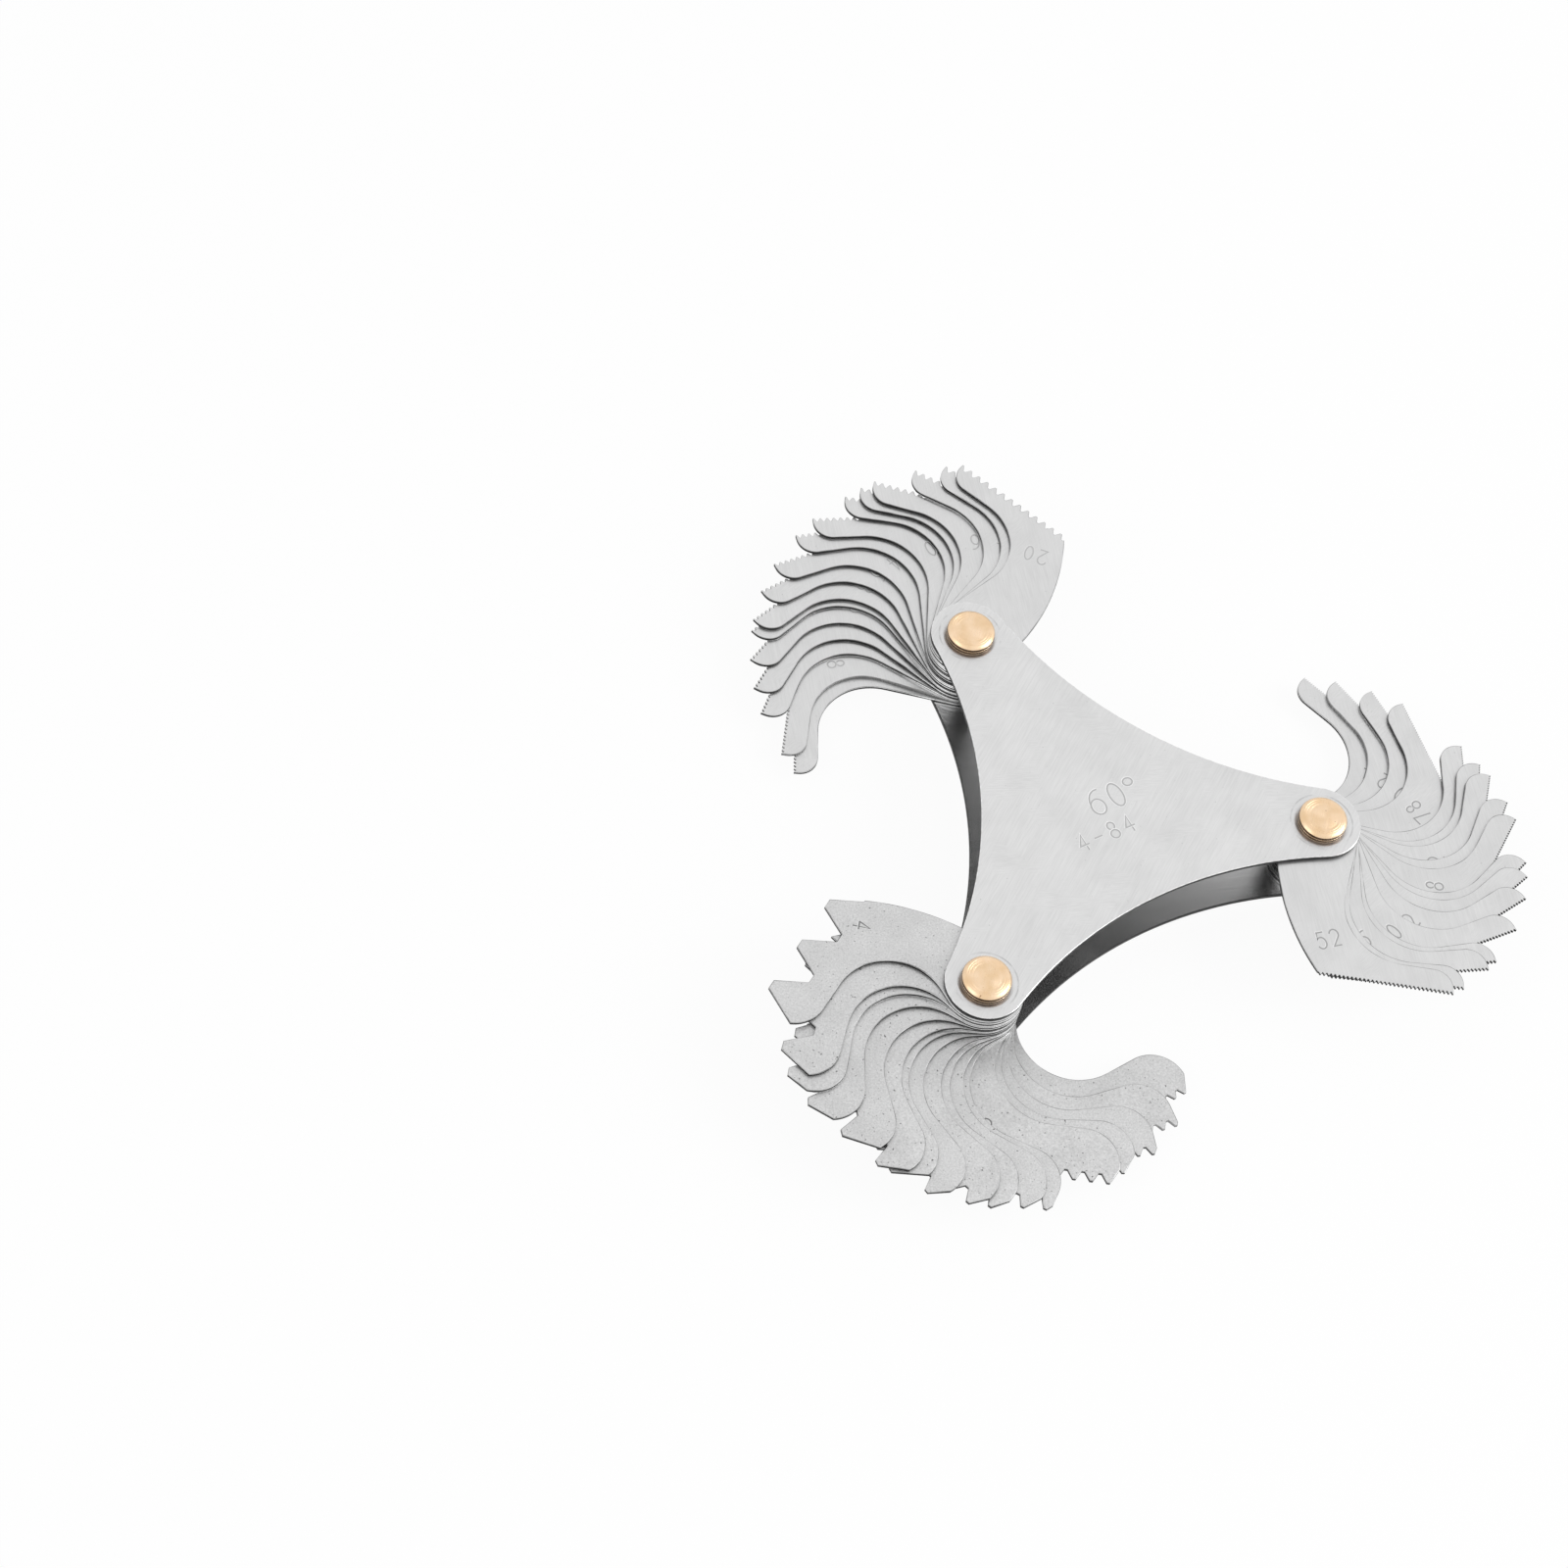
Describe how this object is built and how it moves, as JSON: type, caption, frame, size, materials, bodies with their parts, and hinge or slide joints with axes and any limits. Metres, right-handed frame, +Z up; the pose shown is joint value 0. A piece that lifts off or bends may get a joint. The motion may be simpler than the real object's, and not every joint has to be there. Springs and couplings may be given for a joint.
{
  "type": "screw pitch gauge",
  "caption": "Pocket gauge with packs of thin toothed steel leaves that swing out on rivets at the corners of a flat case with hollow sides, each leaf cut with its own thread pitch.",
  "frame": {"origin": "middle of the three rivets, on the plane of the lower rivet heads' faces, which the gauge stands on", "axes": "+X towards the rivet of the finest pack (52 to 84 threads per inch), +Z up through the plates; the medium pack is at 120 degrees from +X and the coarse pack at 240 degrees"},
  "size_m": [0.0931, 0.0994, 0.0115],
  "materials": {
    "plate_steel": "satin",
    "leaf_steel": "satin",
    "rivet_brass": "turned, bright"
  },
  "bodies": {
    "case": {"top_plate": "plate_steel", "bottom_plate": "plate_steel", "rivets": "rivet_brass"},
    "leaf_4_tpi": {"leaf_4_tpi": "leaf_steel"},
    "leaf_4_5_tpi": {"leaf_4_5_tpi": "leaf_steel"},
    "leaf_5_tpi": {"leaf_5_tpi": "leaf_steel"},
    "leaf_5_5_tpi": {"leaf_5_5_tpi": "leaf_steel"},
    "leaf_6_tpi": {"leaf_6_tpi": "leaf_steel"},
    "leaf_7_tpi": {"leaf_7_tpi": "leaf_steel"},
    "leaf_8_tpi": {"leaf_8_tpi": "leaf_steel"},
    "leaf_9_tpi": {"leaf_9_tpi": "leaf_steel"},
    "leaf_10_tpi": {"leaf_10_tpi": "leaf_steel"},
    "leaf_11_tpi": {"leaf_11_tpi": "leaf_steel"},
    "leaf_11_5_tpi": {"leaf_11_5_tpi": "leaf_steel"},
    "leaf_12_tpi": {"leaf_12_tpi": "leaf_steel"},
    "leaf_13_tpi": {"leaf_13_tpi": "leaf_steel"},
    "leaf_14_tpi": {"leaf_14_tpi": "leaf_steel"},
    "leaf_15_tpi": {"leaf_15_tpi": "leaf_steel"},
    "leaf_16_tpi": {"leaf_16_tpi": "leaf_steel"},
    "leaf_18_tpi": {"leaf_18_tpi": "leaf_steel"},
    "leaf_20_tpi": {"leaf_20_tpi": "leaf_steel"},
    "leaf_22_tpi": {"leaf_22_tpi": "leaf_steel"},
    "leaf_24_tpi": {"leaf_24_tpi": "leaf_steel"},
    "leaf_26_tpi": {"leaf_26_tpi": "leaf_steel"},
    "leaf_27_tpi": {"leaf_27_tpi": "leaf_steel"},
    "leaf_28_tpi": {"leaf_28_tpi": "leaf_steel"},
    "leaf_30_tpi": {"leaf_30_tpi": "leaf_steel"},
    "leaf_32_tpi": {"leaf_32_tpi": "leaf_steel"},
    "leaf_34_tpi": {"leaf_34_tpi": "leaf_steel"},
    "leaf_36_tpi": {"leaf_36_tpi": "leaf_steel"},
    "leaf_38_tpi": {"leaf_38_tpi": "leaf_steel"},
    "leaf_40_tpi": {"leaf_40_tpi": "leaf_steel"},
    "leaf_42_tpi": {"leaf_42_tpi": "leaf_steel"},
    "leaf_44_tpi": {"leaf_44_tpi": "leaf_steel"},
    "leaf_46_tpi": {"leaf_46_tpi": "leaf_steel"},
    "leaf_48_tpi": {"leaf_48_tpi": "leaf_steel"},
    "leaf_50_tpi": {"leaf_50_tpi": "leaf_steel"},
    "leaf_52_tpi": {"leaf_52_tpi": "leaf_steel"},
    "leaf_54_tpi": {"leaf_54_tpi": "leaf_steel"},
    "leaf_56_tpi": {"leaf_56_tpi": "leaf_steel"},
    "leaf_58_tpi": {"leaf_58_tpi": "leaf_steel"},
    "leaf_60_tpi": {"leaf_60_tpi": "leaf_steel"},
    "leaf_62_tpi": {"leaf_62_tpi": "leaf_steel"},
    "leaf_64_tpi": {"leaf_64_tpi": "leaf_steel"},
    "leaf_66_tpi": {"leaf_66_tpi": "leaf_steel"},
    "leaf_68_tpi": {"leaf_68_tpi": "leaf_steel"},
    "leaf_70_tpi": {"leaf_70_tpi": "leaf_steel"},
    "leaf_72_tpi": {"leaf_72_tpi": "leaf_steel"},
    "leaf_74_tpi": {"leaf_74_tpi": "leaf_steel"},
    "leaf_76_tpi": {"leaf_76_tpi": "leaf_steel"},
    "leaf_78_tpi": {"leaf_78_tpi": "leaf_steel"},
    "leaf_80_tpi": {"leaf_80_tpi": "leaf_steel"},
    "leaf_82_tpi": {"leaf_82_tpi": "leaf_steel"},
    "leaf_84_tpi": {"leaf_84_tpi": "leaf_steel"}
  },
  "joints": [
    {"name": "leaf_4_tpi_pivot", "type": "hinge", "parent": "case", "child": "leaf_4_tpi", "pos_m": [-0.01373, -0.02378, 0.00941], "axis": [0, 0, 1], "range_deg": [-51, 249]},
    {"name": "leaf_4_5_tpi_pivot", "type": "hinge", "parent": "case", "child": "leaf_4_5_tpi", "pos_m": [-0.01373, -0.02378, 0.00894], "axis": [0, 0, 1], "range_deg": [-67.5, 232.5]},
    {"name": "leaf_5_tpi_pivot", "type": "hinge", "parent": "case", "child": "leaf_5_tpi", "pos_m": [-0.01373, -0.02378, 0.00848], "axis": [0, 0, 1], "range_deg": [-72.5, 227.5]},
    {"name": "leaf_5_5_tpi_pivot", "type": "hinge", "parent": "case", "child": "leaf_5_5_tpi", "pos_m": [-0.01373, -0.02378, 0.00802], "axis": [0, 0, 1], "range_deg": [-82, 218]},
    {"name": "leaf_6_tpi_pivot", "type": "hinge", "parent": "case", "child": "leaf_6_tpi", "pos_m": [-0.01373, -0.02378, 0.00756], "axis": [0, 0, 1], "range_deg": [-95, 205]},
    {"name": "leaf_7_tpi_pivot", "type": "hinge", "parent": "case", "child": "leaf_7_tpi", "pos_m": [-0.01373, -0.02378, 0.00711], "axis": [0, 0, 1], "range_deg": [-105.5, 194.5]},
    {"name": "leaf_8_tpi_pivot", "type": "hinge", "parent": "case", "child": "leaf_8_tpi", "pos_m": [-0.01373, -0.02378, 0.00664], "axis": [0, 0, 1], "range_deg": [-110, 190]},
    {"name": "leaf_9_tpi_pivot", "type": "hinge", "parent": "case", "child": "leaf_9_tpi", "pos_m": [-0.01373, -0.02378, 0.00619], "axis": [0, 0, 1], "range_deg": [-118.5, 181.5]},
    {"name": "leaf_10_tpi_pivot", "type": "hinge", "parent": "case", "child": "leaf_10_tpi", "pos_m": [-0.01373, -0.02378, 0.00573], "axis": [0, 0, 1], "range_deg": [-129, 171]},
    {"name": "leaf_11_tpi_pivot", "type": "hinge", "parent": "case", "child": "leaf_11_tpi", "pos_m": [-0.01373, -0.02378, 0.00526], "axis": [0, 0, 1], "range_deg": [-134.5, 165.5]},
    {"name": "leaf_11_5_tpi_pivot", "type": "hinge", "parent": "case", "child": "leaf_11_5_tpi", "pos_m": [-0.01373, -0.02378, 0.00481], "axis": [0, 0, 1], "range_deg": [-143, 157]},
    {"name": "leaf_12_tpi_pivot", "type": "hinge", "parent": "case", "child": "leaf_12_tpi", "pos_m": [-0.01373, -0.02378, 0.00434], "axis": [0, 0, 1], "range_deg": [-147.5, 152.5]},
    {"name": "leaf_13_tpi_pivot", "type": "hinge", "parent": "case", "child": "leaf_13_tpi", "pos_m": [-0.01373, -0.02378, 0.00388], "axis": [0, 0, 1], "range_deg": [-167, 133]},
    {"name": "leaf_14_tpi_pivot", "type": "hinge", "parent": "case", "child": "leaf_14_tpi", "pos_m": [-0.01373, -0.02378, 0.00343], "axis": [0, 0, 1], "range_deg": [-173, 127]},
    {"name": "leaf_15_tpi_pivot", "type": "hinge", "parent": "case", "child": "leaf_15_tpi", "pos_m": [-0.01373, -0.02378, 0.00297], "axis": [0, 0, 1], "range_deg": [-181.5, 118.5]},
    {"name": "leaf_16_tpi_pivot", "type": "hinge", "parent": "case", "child": "leaf_16_tpi", "pos_m": [-0.01373, -0.02378, 0.0025], "axis": [0, 0, 1], "range_deg": [-192, 108]},
    {"name": "leaf_18_tpi_pivot", "type": "hinge", "parent": "case", "child": "leaf_18_tpi", "pos_m": [-0.01373, -0.02378, 0.00204], "axis": [0, 0, 1], "range_deg": [-204, 96]},
    {"name": "leaf_20_tpi_pivot", "type": "hinge", "parent": "case", "child": "leaf_20_tpi", "pos_m": [-0.01373, 0.02378, 0.00941], "axis": [0, 0, 1], "range_deg": [-73, 227]},
    {"name": "leaf_22_tpi_pivot", "type": "hinge", "parent": "case", "child": "leaf_22_tpi", "pos_m": [-0.01373, 0.02378, 0.00894], "axis": [0, 0, 1], "range_deg": [-77.5, 222.5]},
    {"name": "leaf_24_tpi_pivot", "type": "hinge", "parent": "case", "child": "leaf_24_tpi", "pos_m": [-0.01373, 0.02378, 0.00848], "axis": [0, 0, 1], "range_deg": [-86, 214]},
    {"name": "leaf_26_tpi_pivot", "type": "hinge", "parent": "case", "child": "leaf_26_tpi", "pos_m": [-0.01373, 0.02378, 0.00802], "axis": [0, 0, 1], "range_deg": [-98, 202]},
    {"name": "leaf_27_tpi_pivot", "type": "hinge", "parent": "case", "child": "leaf_27_tpi", "pos_m": [-0.01373, 0.02378, 0.00756], "axis": [0, 0, 1], "range_deg": [-102, 198]},
    {"name": "leaf_28_tpi_pivot", "type": "hinge", "parent": "case", "child": "leaf_28_tpi", "pos_m": [-0.01373, 0.02378, 0.00711], "axis": [0, 0, 1], "range_deg": [-107, 193]},
    {"name": "leaf_30_tpi_pivot", "type": "hinge", "parent": "case", "child": "leaf_30_tpi", "pos_m": [-0.01373, 0.02378, 0.00664], "axis": [0, 0, 1], "range_deg": [-118.5, 181.5]},
    {"name": "leaf_32_tpi_pivot", "type": "hinge", "parent": "case", "child": "leaf_32_tpi", "pos_m": [-0.01373, 0.02378, 0.00619], "axis": [0, 0, 1], "range_deg": [-125.5, 174.5]},
    {"name": "leaf_34_tpi_pivot", "type": "hinge", "parent": "case", "child": "leaf_34_tpi", "pos_m": [-0.01373, 0.02378, 0.00573], "axis": [0, 0, 1], "range_deg": [-136.5, 163.5]},
    {"name": "leaf_36_tpi_pivot", "type": "hinge", "parent": "case", "child": "leaf_36_tpi", "pos_m": [-0.01373, 0.02378, 0.00526], "axis": [0, 0, 1], "range_deg": [-145.5, 154.5]},
    {"name": "leaf_38_tpi_pivot", "type": "hinge", "parent": "case", "child": "leaf_38_tpi", "pos_m": [-0.01373, 0.02378, 0.00481], "axis": [0, 0, 1], "range_deg": [-154.5, 145.5]},
    {"name": "leaf_40_tpi_pivot", "type": "hinge", "parent": "case", "child": "leaf_40_tpi", "pos_m": [-0.01373, 0.02378, 0.00434], "axis": [0, 0, 1], "range_deg": [-157.5, 142.5]},
    {"name": "leaf_42_tpi_pivot", "type": "hinge", "parent": "case", "child": "leaf_42_tpi", "pos_m": [-0.01373, 0.02378, 0.00388], "axis": [0, 0, 1], "range_deg": [-166, 134]},
    {"name": "leaf_44_tpi_pivot", "type": "hinge", "parent": "case", "child": "leaf_44_tpi", "pos_m": [-0.01373, 0.02378, 0.00343], "axis": [0, 0, 1], "range_deg": [-174.5, 125.5]},
    {"name": "leaf_46_tpi_pivot", "type": "hinge", "parent": "case", "child": "leaf_46_tpi", "pos_m": [-0.01373, 0.02378, 0.00297], "axis": [0, 0, 1], "range_deg": [-182, 118]},
    {"name": "leaf_48_tpi_pivot", "type": "hinge", "parent": "case", "child": "leaf_48_tpi", "pos_m": [-0.01373, 0.02378, 0.0025], "axis": [0, 0, 1], "range_deg": [-195, 105]},
    {"name": "leaf_50_tpi_pivot", "type": "hinge", "parent": "case", "child": "leaf_50_tpi", "pos_m": [-0.01373, 0.02378, 0.00204], "axis": [0, 0, 1], "range_deg": [-201, 99]},
    {"name": "leaf_52_tpi_pivot", "type": "hinge", "parent": "case", "child": "leaf_52_tpi", "pos_m": [0.02745, 0, 0.00941], "axis": [0, 0, 1], "range_deg": [-45.5, 254.5]},
    {"name": "leaf_54_tpi_pivot", "type": "hinge", "parent": "case", "child": "leaf_54_tpi", "pos_m": [0.02745, 0, 0.00894], "axis": [0, 0, 1], "range_deg": [-49.5, 250.5]},
    {"name": "leaf_56_tpi_pivot", "type": "hinge", "parent": "case", "child": "leaf_56_tpi", "pos_m": [0.02745, 0, 0.00848], "axis": [0, 0, 1], "range_deg": [-59.5, 240.5]},
    {"name": "leaf_58_tpi_pivot", "type": "hinge", "parent": "case", "child": "leaf_58_tpi", "pos_m": [0.02745, 0, 0.00802], "axis": [0, 0, 1], "range_deg": [-63.5, 236.5]},
    {"name": "leaf_60_tpi_pivot", "type": "hinge", "parent": "case", "child": "leaf_60_tpi", "pos_m": [0.02745, 0, 0.00756], "axis": [0, 0, 1], "range_deg": [-76, 224]},
    {"name": "leaf_62_tpi_pivot", "type": "hinge", "parent": "case", "child": "leaf_62_tpi", "pos_m": [0.02745, 0, 0.00711], "axis": [0, 0, 1], "range_deg": [-87, 213]},
    {"name": "leaf_64_tpi_pivot", "type": "hinge", "parent": "case", "child": "leaf_64_tpi", "pos_m": [0.02745, 0, 0.00664], "axis": [0, 0, 1], "range_deg": [-94.5, 205.5]},
    {"name": "leaf_66_tpi_pivot", "type": "hinge", "parent": "case", "child": "leaf_66_tpi", "pos_m": [0.02745, 0, 0.00619], "axis": [0, 0, 1], "range_deg": [-99.5, 200.5]},
    {"name": "leaf_68_tpi_pivot", "type": "hinge", "parent": "case", "child": "leaf_68_tpi", "pos_m": [0.02745, 0, 0.00573], "axis": [0, 0, 1], "range_deg": [-113.5, 186.5]},
    {"name": "leaf_70_tpi_pivot", "type": "hinge", "parent": "case", "child": "leaf_70_tpi", "pos_m": [0.02745, 0, 0.00526], "axis": [0, 0, 1], "range_deg": [-119.5, 180.5]},
    {"name": "leaf_72_tpi_pivot", "type": "hinge", "parent": "case", "child": "leaf_72_tpi", "pos_m": [0.02745, 0, 0.00481], "axis": [0, 0, 1], "range_deg": [-129, 171]},
    {"name": "leaf_74_tpi_pivot", "type": "hinge", "parent": "case", "child": "leaf_74_tpi", "pos_m": [0.02745, 0, 0.00434], "axis": [0, 0, 1], "range_deg": [-133.5, 166.5]},
    {"name": "leaf_76_tpi_pivot", "type": "hinge", "parent": "case", "child": "leaf_76_tpi", "pos_m": [0.02745, 0, 0.00388], "axis": [0, 0, 1], "range_deg": [-141, 159]},
    {"name": "leaf_78_tpi_pivot", "type": "hinge", "parent": "case", "child": "leaf_78_tpi", "pos_m": [0.02745, 0, 0.00343], "axis": [0, 0, 1], "range_deg": [-161, 139]},
    {"name": "leaf_80_tpi_pivot", "type": "hinge", "parent": "case", "child": "leaf_80_tpi", "pos_m": [0.02745, 0, 0.00297], "axis": [0, 0, 1], "range_deg": [-170, 130]},
    {"name": "leaf_82_tpi_pivot", "type": "hinge", "parent": "case", "child": "leaf_82_tpi", "pos_m": [0.02745, 0, 0.0025], "axis": [0, 0, 1], "range_deg": [-180, 120]},
    {"name": "leaf_84_tpi_pivot", "type": "hinge", "parent": "case", "child": "leaf_84_tpi", "pos_m": [0.02745, 0, 0.00204], "axis": [0, 0, 1], "range_deg": [-188.5, 111.5]}
  ]
}
